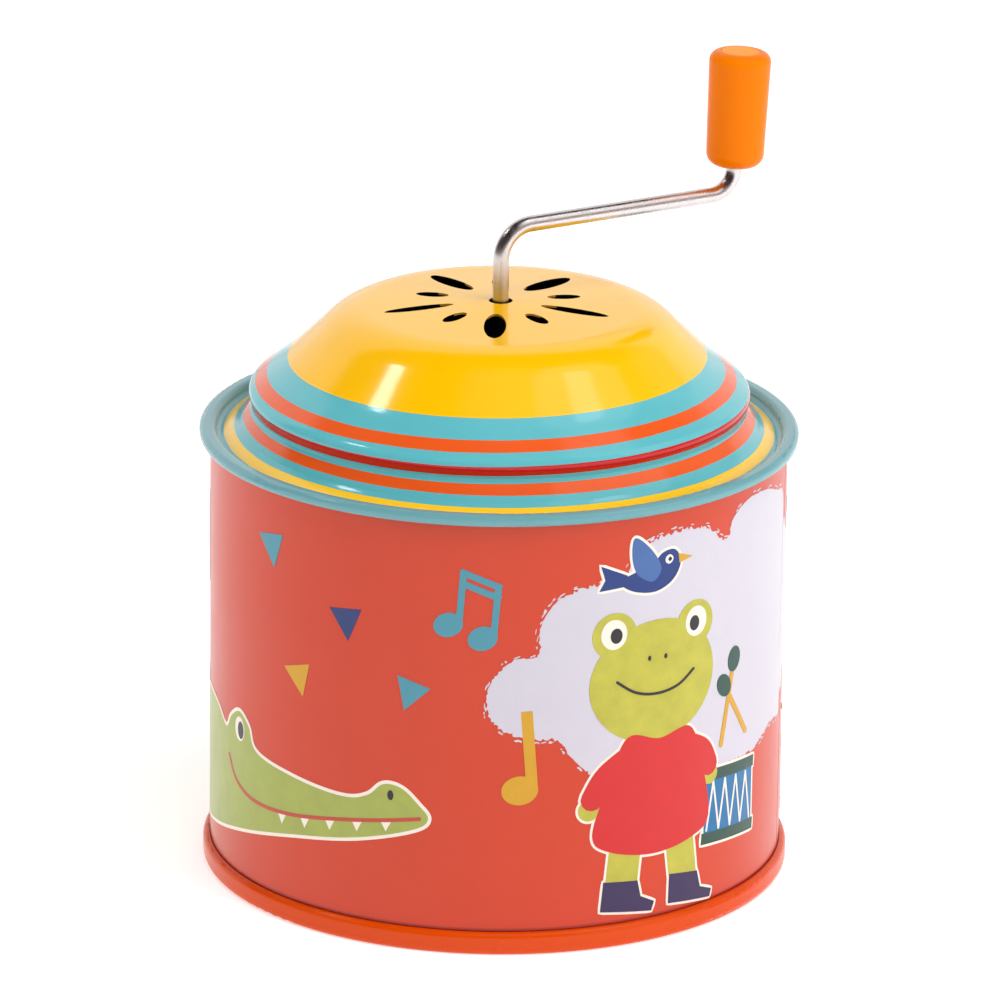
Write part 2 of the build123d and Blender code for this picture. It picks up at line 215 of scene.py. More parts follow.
def lacquer_skin_group():
    """The slight ripple of lacquered sheet: orange peel and longer waves from forming."""
    inputs = [("Peel", "Float", 0.05), ("Wave", "Float", 0.05)]
    tree, given, out = new_group("lacquer_skin", inputs, [("Normal", "Vector")])
    where = tree.nodes.new("ShaderNodeTexCoord").outputs["Object"]
    peel = add(tree, "ShaderNodeTexNoise", {"Vector": where, "Scale": 1500.0, "Detail": 1.0}).outputs["Fac"]
    wave = add(tree, "ShaderNodeTexNoise", {"Vector": where, "Scale": 110.0, "Detail": 1.0}).outputs["Fac"]
    long_way = add(tree, "ShaderNodeBump", {"Height": wave, "Strength": given["Wave"], "Distance": 0.4 * MM})
    fine = add(tree, "ShaderNodeBump", {"Height": peel, "Strength": given["Peel"], "Distance": 0.05 * MM,
                                        "Normal": long_way.outputs[0]})
    feed(tree, fine.outputs[0], out["Normal"])
    return tree


def handling_group():
    """Roughness that varies with faint finger smears and a few hairline rubs."""
    tree, given, out = new_group("handling", [("Roughness", "Float", 0.2), ("Smear", "Float", 0.1)],
                                 [("Roughness", "Float")])
    where = tree.nodes.new("ShaderNodeTexCoord").outputs["Object"]
    smear = add(tree, "ShaderNodeTexNoise", {"Vector": where, "Scale": 55.0, "Detail": 4.0,
                                             "Distortion": 0.6}).outputs["Fac"]
    squeezed = add(tree, "ShaderNodeMapping", {"Vector": where, "Scale": (1.0, 1.0, 9.0)}).outputs[0]
    lines = add(tree, "ShaderNodeTexNoise", {"Vector": squeezed, "Scale": 260.0,
                                             "Detail": 3.0}).outputs["Fac"]
    rub = between(tree, lines, 0.66, 0.74)
    swing = maths(tree, "MULTIPLY", between(tree, smear, 0.42, 0.68), given["Smear"])
    worn = maths(tree, "ADD", swing, maths(tree, "MULTIPLY", rub, 0.03))
    feed(tree, maths(tree, "ADD", given["Roughness"], worn), out["Roughness"])
    return tree


def metal_grain_group():
    """Fine drawn or turned lines on bare metal; they run along the axis that Stretch makes small."""
    inputs = [("Scale", "Float", 900.0), ("Depth", "Float", 0.1), ("Stretch", "Vector", (1.0, 1.0, 0.05))]
    tree, given, out = new_group("metal_grain", inputs, [("Value", "Float"), ("Normal", "Vector")])
    where = tree.nodes.new("ShaderNodeTexCoord").outputs["Object"]
    drawn = vector(tree, "MULTIPLY", where, given["Stretch"])[0]
    lines = add(tree, "ShaderNodeTexNoise", {"Vector": drawn, "Scale": given["Scale"],
                                             "Detail": 3.0}).outputs["Fac"]
    bump = add(tree, "ShaderNodeBump", {"Height": lines, "Strength": given["Depth"], "Distance": 0.05 * MM})
    feed(tree, lines, out["Value"])
    feed(tree, bump.outputs[0], out["Normal"])
    return tree


def bare_tin_group():
    """Spangled bare tinplate for the unprinted inside faces."""
    inputs = [("Printed", "Color", (1, 1, 1, 1)), ("Outside", "Float", 1.0)]
    tree, given, out = new_group("bare_tin", inputs, [("Colour", "Color"), ("Metallic", "Float")])
    where = tree.nodes.new("ShaderNodeTexCoord").outputs["Object"]
    spangle = add(tree, "ShaderNodeTexVoronoi", {"Vector": where, "Scale": 300.0}).outputs["Color"]
    tin = blend(tree, 0.12, TIN_GREY, spangle)
    feed(tree, blend(tree, given["Outside"], tin, given["Printed"]), out["Colour"])
    feed(tree, maths(tree, "SUBTRACT", 1.0, given["Outside"]), out["Metallic"])
    return tree


INK_MOTTLE = ink_mottle_group()
LACQUER_SKIN = lacquer_skin_group()
HANDLING = handling_group()
METAL_GRAIN = metal_grain_group()
BARE_TIN = bare_tin_group()


# ---- materials -----------------------------------------------------------------------------------
def new_material(name):
    """A material with only its Principled shader; returns it, its tree and the shader."""
    material = bpy.data.materials.new(name)
    material.use_nodes = True
    tree = material.node_tree
    return material, tree, tree.nodes["Principled BSDF"]


def axis_distance(tree, where):
    """How far a place lies from the tin's axis."""
    flat = vector(tree, "MULTIPLY", where, (1, 1, 0))[0]
    return vector(tree, "LENGTH", flat)["Value"]


def outward(tree, centre_z, sure_beyond):
    """1 on faces that look away from a point on the tin's axis, or that lie beyond a radius."""
    where = tree.nodes.new("ShaderNodeTexCoord").outputs["Object"]
    away = vector(tree, "SUBTRACT", where, (0, 0, centre_z))[0]
    normal = tree.nodes.new("ShaderNodeNewGeometry").outputs["True Normal"]
    facing = vector(tree, "DOT_PRODUCT", away, normal)["Value"]
    beyond = maths(tree, "GREATER_THAN", axis_distance(tree, where), sure_beyond)
    return maths(tree, "MAXIMUM", maths(tree, "GREATER_THAN", facing, 0.0), beyond)


def surface(tree, shader, roughness, smear, peel, wave):
    """A handled, faintly rippled surface."""
    worn = place(tree, HANDLING, {"Roughness": roughness, "Smear": smear})
    skin = place(tree, LACQUER_SKIN, {"Peel": peel, "Wave": wave})
    feed(tree, worn["Roughness"], shader.inputs["Roughness"])
    feed(tree, skin["Normal"], shader.inputs["Normal"])


def gloss(shader, shine, coat, coat_roughness):
    shader.inputs["Specular IOR Level"].default_value = shine
    shader.inputs["Coat Weight"].default_value = coat
    shader.inputs["Coat Roughness"].default_value = coat_roughness


def printed_tin(name, colour_of, roughness, coat, centre_z, sure_beyond, wave, shine):
    """Printed and lacquered tinplate, bare inside; colour_of(tree) gives the ink."""
    material, tree, shader = new_material(name)
    ink = place(tree, INK_MOTTLE, {"Colour": colour_of(tree), "Cloudiness": 0.07, "Grain": 0.05})["Colour"]
    tin = place(tree, BARE_TIN, {"Printed": ink, "Outside": outward(tree, centre_z, sure_beyond)})
    feed(tree, tin["Colour"], shader.inputs["Base Color"])
    feed(tree, tin["Metallic"], shader.inputs["Metallic"])
    surface(tree, shader, roughness, 0.06, 0.05, wave)
    gloss(shader, shine, coat, 0.1)
    return material


# The lid's rings: how many millimetres below the dome's top each starts, and its ink.
LID_RINGS = [(0.0, DOME_YELLOW), (7.1, TEAL), (9.2, RING_ORANGE), (10.35, TEAL), (11.7, RING_RED),
             (13.0, TEAL), (14.0, RING_ORANGE), (15.2, TEAL), (16.4, RING_GOLD), (17.15, TEAL)]
RING_WOBBLE = 0.14 * MM              # how much a ring's edge wanders
PRINT_DRIFT = 0.012                  # the upper rings lean by this much per metre across the lid
DRIFT_FULL = 12.5 * MM               # depth where the drift starts to fade, and where it is gone
DRIFT_GONE = 15.5 * MM
RIM_SHADE_INSET = 1.15 * MM                # the rim's darker teal, painted shade, starts this far inside the wall's face
CUT_SLOPE = 0.35                     # a face steeper than this inside the pierced part is a cut edge


def lid_ink(tree):
    """The lid's rings by depth, with a darker teal on the channel's outer wall and the rim, painted shade
    for their dim reflection.
    """
    where = tree.nodes.new("ShaderNodeTexCoord").outputs["Object"]
    wobble = add(tree, "ShaderNodeTexNoise", {"Vector": where, "Scale": 120.0, "Detail": 2.0}).outputs["Fac"]
    wobble = maths(tree, "MULTIPLY", maths(tree, "SUBTRACT", wobble, 0.5), RING_WOBBLE)
    parts = add(tree, "ShaderNodeSeparateXYZ", {0: where}).outputs
    drop = maths(tree, "SUBTRACT", LID_HIGH.z, parts["Z"])
    drift = maths(tree, "MULTIPLY", between(tree, drop, DRIFT_GONE, DRIFT_FULL),
                  maths(tree, "MULTIPLY", parts["X"], PRINT_DRIFT))
    depth = maths(tree, "ADD", drop, maths(tree, "ADD", wobble, drift))
    span = LID_RINGS[-1][0] + 1.0
    ramp = add(tree, "ShaderNodeValToRGB", {0: maths(tree, "DIVIDE", depth, span * MM)})
    ramp.color_ramp.interpolation = "CONSTANT"
    stops = ramp.color_ramp.elements
    while len(stops) < len(LID_RINGS):
        stops.new(0.5)
    for stop, (start, ink) in zip(stops, LID_RINGS):
        stop.position = start / span
        stop.color = ink
    radius = axis_distance(tree, where)
    # painted shade: outside this radius the teal turns to its darker copy
    rim = maths(tree, "GREATER_THAN", maths(tree, "ADD", radius, wobble), WALL_R - RIM_SHADE_INSET)
    printed = blend(tree, rim, ramp.outputs[0], RIM_SHADED_TEAL)
    # the pierced holes show the raw, darkened edge of the sheet
    normal = tree.nodes.new("ShaderNodeNewGeometry").outputs["True Normal"]
    slope = maths(tree, "ABSOLUTE", add(tree, "ShaderNodeSeparateXYZ", {0: normal}).outputs["Z"])
    cut = maths(tree, "MULTIPLY", maths(tree, "LESS_THAN", slope, CUT_SLOPE),
                maths(tree, "LESS_THAN", radius, PIERCED_R))
    return blend(tree, cut, printed, CUT_EDGE)


def plastic(name, colour, roughness, shine=0.5):
    material, tree, shader = new_material(name)
    toned = {"Colour": colour, "Cloudiness": 0.03, "Grain": 0.02, "Size mm": 3.0}
    feed(tree, place(tree, INK_MOTTLE, toned)["Colour"], shader.inputs["Base Color"])
    surface(tree, shader, roughness, 0.08, 0.08, 0.06)
    gloss(shader, shine, 0.0, 0.05)
    return material


def metal(name, colour, roughness, depth, stretch=(1.0, 1.0, 0.05), scale=900.0):
    """Bare metal with fine lines, rougher where a line is high."""
    material, tree, shader = new_material(name)
    grain = place(tree, METAL_GRAIN, {"Scale": scale, "Depth": depth, "Stretch": stretch})
    tone = place(tree, INK_MOTTLE, {"Colour": colour, "Cloudiness": 0.08, "Grain": 0.04, "Size mm": 4.0})
    lined = between(tree, grain["Value"], 0.3, 0.7, roughness * 0.8, roughness * 1.25)
    worn = place(tree, HANDLING, {"Roughness": lined, "Smear": 0.05})
    feed(tree, tone["Colour"], shader.inputs["Base Color"])
    feed(tree, worn["Roughness"], shader.inputs["Roughness"])
    feed(tree, grain["Normal"], shader.inputs["Normal"])
    shader.inputs["Metallic"].default_value = 1.0
    return material


WALL_ROUGHNESS = 0.3
WALL_COAT = 0.25
WALL_SHINE = 0.35
FOLD_SHADE_FADES = 0.6 * MM                # height over the hem where the painted shade in the fold ends
FOLD_SHADE_FULL = 0.1 * MM


def wall_colour(tree):
    """The wall's red, with painted shade: a dark line in the fold above the hem."""
    where = tree.nodes.new("ShaderNodeTexCoord").outputs["Object"]
    height = add(tree, "ShaderNodeSeparateXYZ", {0: where}).outputs["Z"]
    # painted shade: the wall's red darkens towards the fold just above the hem
    fold_shade = between(tree, height, HEM_TOP + FOLD_SHADE_FADES, HEM_TOP + FOLD_SHADE_FULL)
    return blend(tree, fold_shade, WALL_RED, FOLD_PAINTED_SHADE)


LID_PRINT = printed_tin("lid_print", lid_ink, roughness=0.19, coat=0.6, centre_z=RIM_TOP - 8 * MM,
                        sure_beyond=WALL_R - 1.6 * MM, wave=0.05, shine=0.15)
WALL_PRINT = printed_tin("wall_print", wall_colour, WALL_ROUGHNESS, WALL_COAT, centre_z=RIM_TOP / 2,
                         sure_beyond=WALL_R - 0.1 * MM, wave=0.03, shine=WALL_SHINE)
BASE_PRINT = printed_tin("base_print", lambda tree: HEM_ORANGE, roughness=0.24, coat=0.1,
                         centre_z=RIM_TOP / 2, sure_beyond=WALL_R - 1.5 * MM, wave=0.05, shine=0.2)
FINISHES = {
    "wall_print": WALL_PRINT,
    "lid_print": LID_PRINT,
    "base_print": BASE_PRINT,
    "chrome": metal("chrome_plate", CHROME, 0.26, 0.03),
    "knob": plastic("knob_plastic", KNOB_ORANGE, 0.24, 0.08),
    "knob_plug": plastic("knob_plug_plastic", PLUG_ORANGE, 0.3, 0.08),
    "black_plastic": plastic("carrier_plastic", CARRIER_BLACK, 0.45),
    "nylon": plastic("nylon", NYLON, 0.4),
    "zinc": metal("die_cast_zinc", ZINC, 0.42, 0.12, (1, 1, 1), 700.0),
    "zinc_steel": metal("plated_steel", PLATED_STEEL, 0.25, 0.06, (1, 1, 1)),
    "spring_steel": metal("ground_steel", GROUND_STEEL, 0.22, 0.12, (1.0, 0.05, 1.0)),
    "brass": metal("turned_brass", BRASS, 0.25, 0.08, (0.05, 1.0, 1.0)),
}

for part in frame["record"]["subparts"]:
    mesh = frame["nodes"][part["node"]].data
    mesh.materials.clear()
    mesh.materials.append(FINISHES[part["material_slot"]])


# ---- printed motifs ---------------------------------------------------------------------------------
# A motif is drawn on the unrolled wall: millimetres round from the front (right is +), and up.
INK_LIFT = 0.03          # first layer's height over the wall; each further layer adds INK_STEP
INK_STEP = 0.014
INK_ROOT = -0.04         # a film's underside lies this far inside the wall's face
WEAVE = 1.3              # spacing of the points that let a film bend round the wall
FINE_OUTLINE = 0.34      # width of the pale line round the frog and the drums
BIRD_OUTLINE = 0.35
BOLD_OUTLINE = 0.45


def oval(x, z, wide, high, turn=0.0, steps=40):
    c, s = math.cos(math.radians(turn)), math.sin(math.radians(turn))
    angles = [2 * math.pi * i / steps for i in range(steps)]
    ring = [(wide * math.cos(a), high * math.sin(a)) for a in angles]
    return [(x + c * u - s * v, z + s * u + c * v) for u, v in ring]


def smooth(points, closed=True, steps=7):
    """A curve through the points (Catmull-Rom)."""
    n = len(points)
    curve = []
    for i in range(n if closed else n - 1):
        if closed:
            p = [points[(i + k) % n] for k in (-1, 0, 1, 2)]
        else:
            p = [points[min(max(i + k, 0), n - 1)] for k in (-1, 0, 1, 2)]
        for j in range(steps):
            t = j / steps
            curve.append(tuple(0.5 * (2 * b + (c - a) * t + (2 * a - 5 * b + 4 * c - d) * t * t
                                      + (3 * b - a - 3 * c + d) * t ** 3)
                               for a, b, c, d in zip(*p)))
    return curve if closed else curve + [points[-1]]


def evenly(loop, gap):
    """The closed loop with no two neighbours further apart than gap."""
    dense = []
    for (x0, z0), (x1, z1) in zip(loop, loop[1:] + loop[:1]):
        parts = max(1, math.ceil(math.hypot(x1 - x0, z1 - z0) / gap))
        dense += [(x0 + (x1 - x0) * k / parts, z0 + (z1 - z0) * k / parts) for k in range(parts)]
    return dense


def stroke(points, width, round_ends=True):
    """A pen line along a smooth open curve."""
    line = smooth(points, closed=False) if len(points) > 2 else list(points)
    left, right = [], []
    for i, (x, z) in enumerate(line):
        (x0, z0), (x1, z1) = line[max(i - 1, 0)], line[min(i + 1, len(line) - 1)]
        size = math.hypot(x1 - x0, z1 - z0)
        nx, nz = -(z1 - z0) / size * width / 2, (x1 - x0) / size * width / 2
        left.append((x + nx, z + nz))
        right.append((x - nx, z - nz))

    def cap(end, start):
        cx, cz = (end[0] + start[0]) / 2, (end[1] + start[1]) / 2
        a0 = math.atan2(start[1] - cz, start[0] - cx)
        turns = [a0 - math.pi * k / 6 for k in range(1, 6)]
        return [(cx + width / 2 * math.cos(a), cz + width / 2 * math.sin(a)) for a in turns]

    if not round_ends:
        return left + right[::-1]
    return left + cap(right[-1], left[-1]) + right[::-1] + cap(left[0], right[0])


def facing_left(loop):
    """The loop in the turning sense that the film maker needs (counter-clockwise)."""
    area = sum(x0 * z1 - x1 * z0 for (x0, z0), (x1, z1) in zip(loop, loop[1:] + loop[:1]))
    return loop if area > 0 else loop[::-1]


def ways_out(loop):
    """Each point of a left-turning loop, with the unit direction that leads out of the loop there."""
    ways = []
    for i, (x, z) in enumerate(loop):
        (x0, z0), (x1, z1) = loop[i - 1], loop[(i + 1) % len(loop)]
        size = math.hypot(x1 - x0, z1 - z0) or 1.0
        ways.append((x, z, (z1 - z0) / size, (x0 - x1) / size))
    return ways


def swell(loop, by):
    """The loop pushed outwards, for the pale outline round a figure."""
    ways = ways_out(facing_left(evenly(loop, 0.5)))
    return [(x + out_x * by, z + out_z * by) for x, z, out_x, out_z in ways]


def wall_point(x, z, lift):
    radius = WALL_R + lift * MM
    turn = x * MM / WALL_R
    return (radius * math.sin(turn), -radius * math.cos(turn), z * MM)


def print_film(name, loops, ink, layer=0):
    """One ink as a thin closed film round the wall: the union of the loops.

    A higher layer covers a lower one."""
    points, faces = [], []
    for loop in loops:
        loop = facing_left(evenly(loop, WEAVE))
        faces.append(list(range(len(points), len(points) + len(loop))))
        points += loop
    xs, zs = [p[0] for p in points], [p[1] for p in points]
    for i in range(int((max(xs) - min(xs)) / WEAVE)):
        for j in range(int((max(zs) - min(zs)) / WEAVE)):
            points.append((min(xs) + (i + 0.55) * WEAVE, min(zs) + (j + 0.55) * WEAVE))
    flat, _, triangles, _, _, owners = delaunay_2d_cdt([Vector(p) for p in points], [], faces, 0, 1e-5)
    kept = [tuple(t) for t, owner in zip(triangles, owners) if owner]
    used = sorted({v for t in kept for v in t})
    place_of = {v: i for i, v in enumerate(used)}
    kept = [tuple(place_of[v] for v in t) for t in kept]
    top = [wall_point(*flat[v], INK_LIFT + INK_STEP * layer) for v in used]
    under = [wall_point(*flat[v], INK_ROOT) for v in used]
    n = len(used)
    edges = {(a, b) for t in kept for a, b in zip(t, t[1:] + t[:1])}
    rims = [(a + n, b + n, b, a) for a, b in sorted(edges) if (b, a) not in edges]
    mesh = bpy.data.meshes.new(name)
    mesh.from_pydata(top + under, [], kept + [tuple(v + n for v in reversed(t)) for t in kept] + rims)
    mesh.polygons.foreach_set("use_smooth", [True] * len(mesh.polygons))
    mesh.set_sharp_from_angle(angle=math.radians(30))
    mesh.materials.append(ink)
    film = bpy.data.objects.new(name, mesh)
    bpy.context.scene.collection.objects.link(film)
    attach(film, "tin")
    return film


def wall_ink(name, colour, cloudiness=0.07):
    """The wall's own gloss over another ink."""
    material, tree, shader = new_material(name)
    toned = {"Colour": colour, "Cloudiness": cloudiness, "Grain": 0.06, "Size mm": 2.6}
    feed(tree, place(tree, INK_MOTTLE, toned)["Colour"], shader.inputs["Base Color"])
    surface(tree, shader, WALL_ROUGHNESS, 0.06, 0.05, 0.03)
    gloss(shader, WALL_SHINE, WALL_COAT, 0.06)
    return material


INKS = {
    "cloud_white": wall_ink("cloud_ink", CLOUD, 0.05),
    "teal": wall_ink("teal_ink", NOTE_TEAL),
    "navy": wall_ink("navy_ink", NAVY, 0.12),
    "gold": wall_ink("gold_ink", NOTE_GOLD, 0.12),
    "cream": wall_ink("cream_ink", CREAM, 0.03),
    "frog_green": wall_ink("frog_green_ink", FROG_GREEN, 0.45),
    "leaf_green": wall_ink("leaf_green_ink", CROC_GREEN, 0.3),
    "deep_green": wall_ink("deep_green_ink", DEEP_GREEN, 0.12),
    "jumper_red": wall_ink("jumper_red_ink", JUMPER_RED, 0.1),
    "shoe_navy": wall_ink("shoe_navy_ink", SHOE_NAVY, 0.1),
    "bird_blue": wall_ink("bird_blue_ink", BIRD_BLUE, 0.18),
    "wing_blue": wall_ink("wing_blue_ink", WING_BLUE, 0.18),
    "drum_blue": wall_ink("drum_blue_ink", DRUM_BLUE, 0.25),
    "black": wall_ink("black_ink", INK_BLACK, 0.02),
    "mouth_red": wall_ink("mouth_red_ink", MOUTH_RED, 0.05),
}


def dry_brush(loop, draw, bite=0.45):
    """A painted edge: shallow bites where the brush ran dry."""
    rough = []
    dryness = 0.5
    for x, z, out_x, out_z in ways_out(facing_left(evenly(loop, 0.3))):
        dryness = min(max(dryness + draw.uniform(-0.16, 0.16), 0.05), 1.0)
        push = draw.uniform(-bite, 0.4 * bite) * dryness
        if SEAM_S - SEAM_GAP < x < SEAM_S + SEAM_GAP:
            push = 0.0
        rough.append((x + out_x * push, z + out_z * push))
    return rough


def brush_flecks(loop, draw, count):
    """Short dry strokes that lie just outside a painted edge and run along it."""
    loop = facing_left(evenly(loop, 0.5))
    flecks = []
    for _ in range(count):
        i = draw.randrange(len(loop))
        (x0, z0), (x1, z1) = loop[i - 1], loop[(i + 1) % len(loop)]
        size = math.hypot(x1 - x0, z1 - z0) or 1.0
        away = draw.uniform(0.1, 0.5)
        x, z = loop[i][0] + (z1 - z0) / size * away, loop[i][1] - (x1 - x0) / size * away
        turn = math.degrees(math.atan2(z1 - z0, x1 - x0)) + draw.uniform(-14, 14)
        wide, high = draw.uniform(0.12, 0.5), draw.uniform(0.05, 0.13)
        if abs(x - SEAM_S) > 1.5:
            flecks.append(oval(x, z, wide, high, turn, 8))
    return flecks


def print_cloud(name, outline, seed, flecks):
    draw = random.Random(seed)
    edge = smooth(outline)
    print_film(name, [dry_brush(edge, draw)] + brush_flecks(edge, draw, flecks), INKS["cloud_white"])


def print_triangles():
    """Paper-cut bunting triangles: (ink, x, z, size, turn)."""
    triangles = [("teal", -31.9, 48.9, 2.9, 10), ("navy", -19.5, 42.0, 2.8, 6),
                 ("gold", -26.9, 33.0, 2.7, 16), ("teal", -10.7, 33.9, 2.7, -18),
                 ("gold", -65, 43.5, 2.8, 20), ("navy", -66, 33, 2.8, -8), ("teal", -72, 48, 2.9, 14),
                 ("gold", -86, 34, 2.7, -14), ("navy", -97, 47, 2.8, 8), ("teal", -108, 36, 2.8, 22),
                 ("navy", 58, 47, 2.8, -12), ("gold", 77, 23.5, 2.8, 12), ("teal", 79, 14, 2.8, -16),
                 ("navy", 103, 22, 2.8, 18), ("gold", 109, 50, 2.7, -6)]
    for ink in ("teal", "navy", "gold"):
        loops = []
        for own, x, z, size, turn in triangles:
            if own == ink:
                corners = [math.radians(turn + a) for a in (32, 148, 270)]
                reach = size * 0.98
                loops.append([(x + reach * math.cos(a), z + reach * math.sin(a)) for a in corners])
        print_film(f"triangles_{ink}", loops, INKS[ink], 1)


def print_note_pair(name, x, z):
    """Two teal notes under a double beam; x, z is the left head."""
    heads = [oval(x, z, 1.9, 1.55, 22), oval(x + 4.3, z - 1.6, 1.9, 1.55, 22)]
    stems = [stroke([(x + 1.35, z + 0.3), (x + 1.9, z + 7.2)], 0.85, False),
             stroke([(x + 5.65, z - 1.3), (x + 6.2, z + 5.5)], 0.85, False)]
    beams = [stroke([(x + 1.5, z + 7.0), (x + 6.6, z + 5.0)], 0.85, False),
             stroke([(x + 1.5, z + 5.6), (x + 6.5, z + 3.6)], 0.85, False)]
    print_film(name, heads + stems + beams, INKS["teal"], 1)


def print_gold_note(name, x, z):
    stem = stroke([(x + 0.75, z + 10.4), (x + 1.55, z + 0.1)], 1.45, False)
    print_film(name, [oval(x, z, 2.3, 1.9, 8), stem], INKS["gold"], 2)


def print_drum(name, x, z):
    """A toy drum; x, z is the middle of its shell."""
    w, h, lean = 5.2, 4.2, -0.9
    last = 8
    shell = [(x - w, z + h), (x - w, z - h), (x + w, z - h + lean), (x + w, z + h + lean)]
    hoops = [stroke([(x - w - 0.4, z + s * h), (x + w + 0.4, z + s * h + lean)], 1.5, False)
             for s in (1, -1)]
    peaks = [(x - w + 0.5 + i * (2 * w - 1) / last, z + (1 - h if i % 2 == 0 else h - 1) + lean * i / last)
             for i in range(last + 1)]
    lacing = [stroke([a, b], 0.32) for a, b in zip(peaks, peaks[1:])]
    outline = [swell(loop, FINE_OUTLINE) for loop in hoops + [shell]]
    print_film(f"{name}_outline", outline, INKS["cream"], 1)
    print_film(f"{name}_shell", [shell], INKS["drum_blue"], 2)
    print_film(f"{name}_lacing", lacing, INKS["cream"], 3)
    print_film(f"{name}_hoops", hoops, INKS["deep_green"], 3)


def print_sticks(name, sticks):
    """Drumsticks given as (grip, tip) pairs."""
    woods, balls = [], []
    for (x0, z0), (x1, z1) in sticks:
        woods.append(stroke([(x0, z0), (x1, z1)], 0.75))
        balls.append(oval(x1, z1, 1.25, 1.65, math.degrees(math.atan2(z1 - z0, x1 - x0)) - 90))
    print_film(f"{name}_wood", woods, INKS["gold"], 5)
    print_film(f"{name}_tips", balls, INKS["deep_green"], 6)


def print_frog():
    """A plain frog in a jumper, standing square to the front."""
    head = [oval(21.0, 34.3, 9.3, 8.0), oval(15.0, 41.0, 3.0, 3.0), oval(27.0, 40.7, 3.0, 3.0)]
    legs = [stroke([(17.0, 13.5), (16.4, 7.6)], 4.4, False), stroke([(25.0, 13.0), (25.8, 6.9)], 4.4, False)]
    hands = [oval(11.9, 18.4, 1.4, 1.4), oval(30.2, 19.9, 1.35, 1.35)]
    body = smooth([(17.0, 27.4), (21.6, 26.6), (26.4, 27.2), (28.6, 22.0), (30.0, 14.6), (27.0, 12.3),
                   (20.8, 11.4), (14.6, 12.6), (12.4, 15.0), (14.4, 21.6)])
    sleeves = [stroke([(18.0, 25.4), (14.2, 22.8), (12.3, 19.8)], 3.0),
               stroke([(25.4, 25.2), (28.6, 23.6), (30.0, 21.2)], 2.9)]
    shoes = [[(14.0, 8.6), (18.7, 8.2), (19.2, 6.0), (21.2, 5.0), (20.8, 3.8), (13.6, 4.7)],
             [(23.5, 8.1), (28.1, 7.5), (28.7, 5.2), (30.8, 4.4), (30.5, 3.4), (23.4, 4.2)]]
    shapes = [body] + legs + shoes + sleeves + hands
    print_film("frog_outline", [swell(loop, FINE_OUTLINE) for loop in shapes], INKS["cream"], 1)
    print_film("frog_skin", head + legs + hands, INKS["frog_green"], 4)
    print_film("frog_jumper", [body] + sleeves, INKS["jumper_red"], 5)
    print_film("frog_shoes", shoes, INKS["shoe_navy"], 6)
    print_film("frog_eye_whites", [oval(14.9, 41.2, 1.75, 1.95), oval(27.1, 40.9, 1.75, 1.95)],
               INKS["cream"], 6)
    nostrils = [oval(19.9, 37.4, 0.24, 0.34, 0, 12), oval(22.3, 37.3, 0.24, 0.34, 0, 12)]
    pupils = [oval(15.2, 41.0, 0.8, 1.0), oval(26.8, 40.7, 0.8, 1.0)]
    mouth = stroke([(15.4, 34.9), (18.0, 33.2), (21.1, 32.6), (24.3, 33.1), (26.8, 34.7)], 0.36)
    print_film("frog_pupils_and_mouth", pupils + nostrils + [mouth], INKS["black"], 7)


def print_bird():
    """A plain small bird in flight."""
    body = smooth([(15.6, 47.9), (17.4, 46.5), (20.6, 46.0), (23.2, 47.1), (24.4, 49.2), (23.5, 51.0),
                   (21.6, 50.9), (20.0, 49.5), (17.6, 48.9)])
    tail = [(16.6, 48.7), (13.0, 50.3), (13.6, 48.4), (12.8, 47.0), (16.6, 47.3)]
    wing = smooth([(18.0, 48.6), (20.2, 47.4), (21.4, 49.0), (19.9, 51.6), (17.6, 53.4), (17.2, 51.0)])
    print_film("bird_outline", [swell(loop, BIRD_OUTLINE) for loop in (body, tail, wing)], INKS["cream"], 1)
    print_film("bird_body", [body, tail], INKS["bird_blue"], 2)
    print_film("bird_wing", [wing], INKS["wing_blue"], 3)
    print_film("bird_beak", [[(24.0, 50.4), (26.3, 49.6), (24.2, 49.1)]], INKS["gold"], 3)
    print_film("bird_eye", [oval(22.6, 49.9, 0.6, 0.6, 0, 16)], INKS["cream"], 3)
    print_film("bird_pupil", [oval(22.7, 49.9, 0.28, 0.28, 0, 12)], INKS["black"], 4)


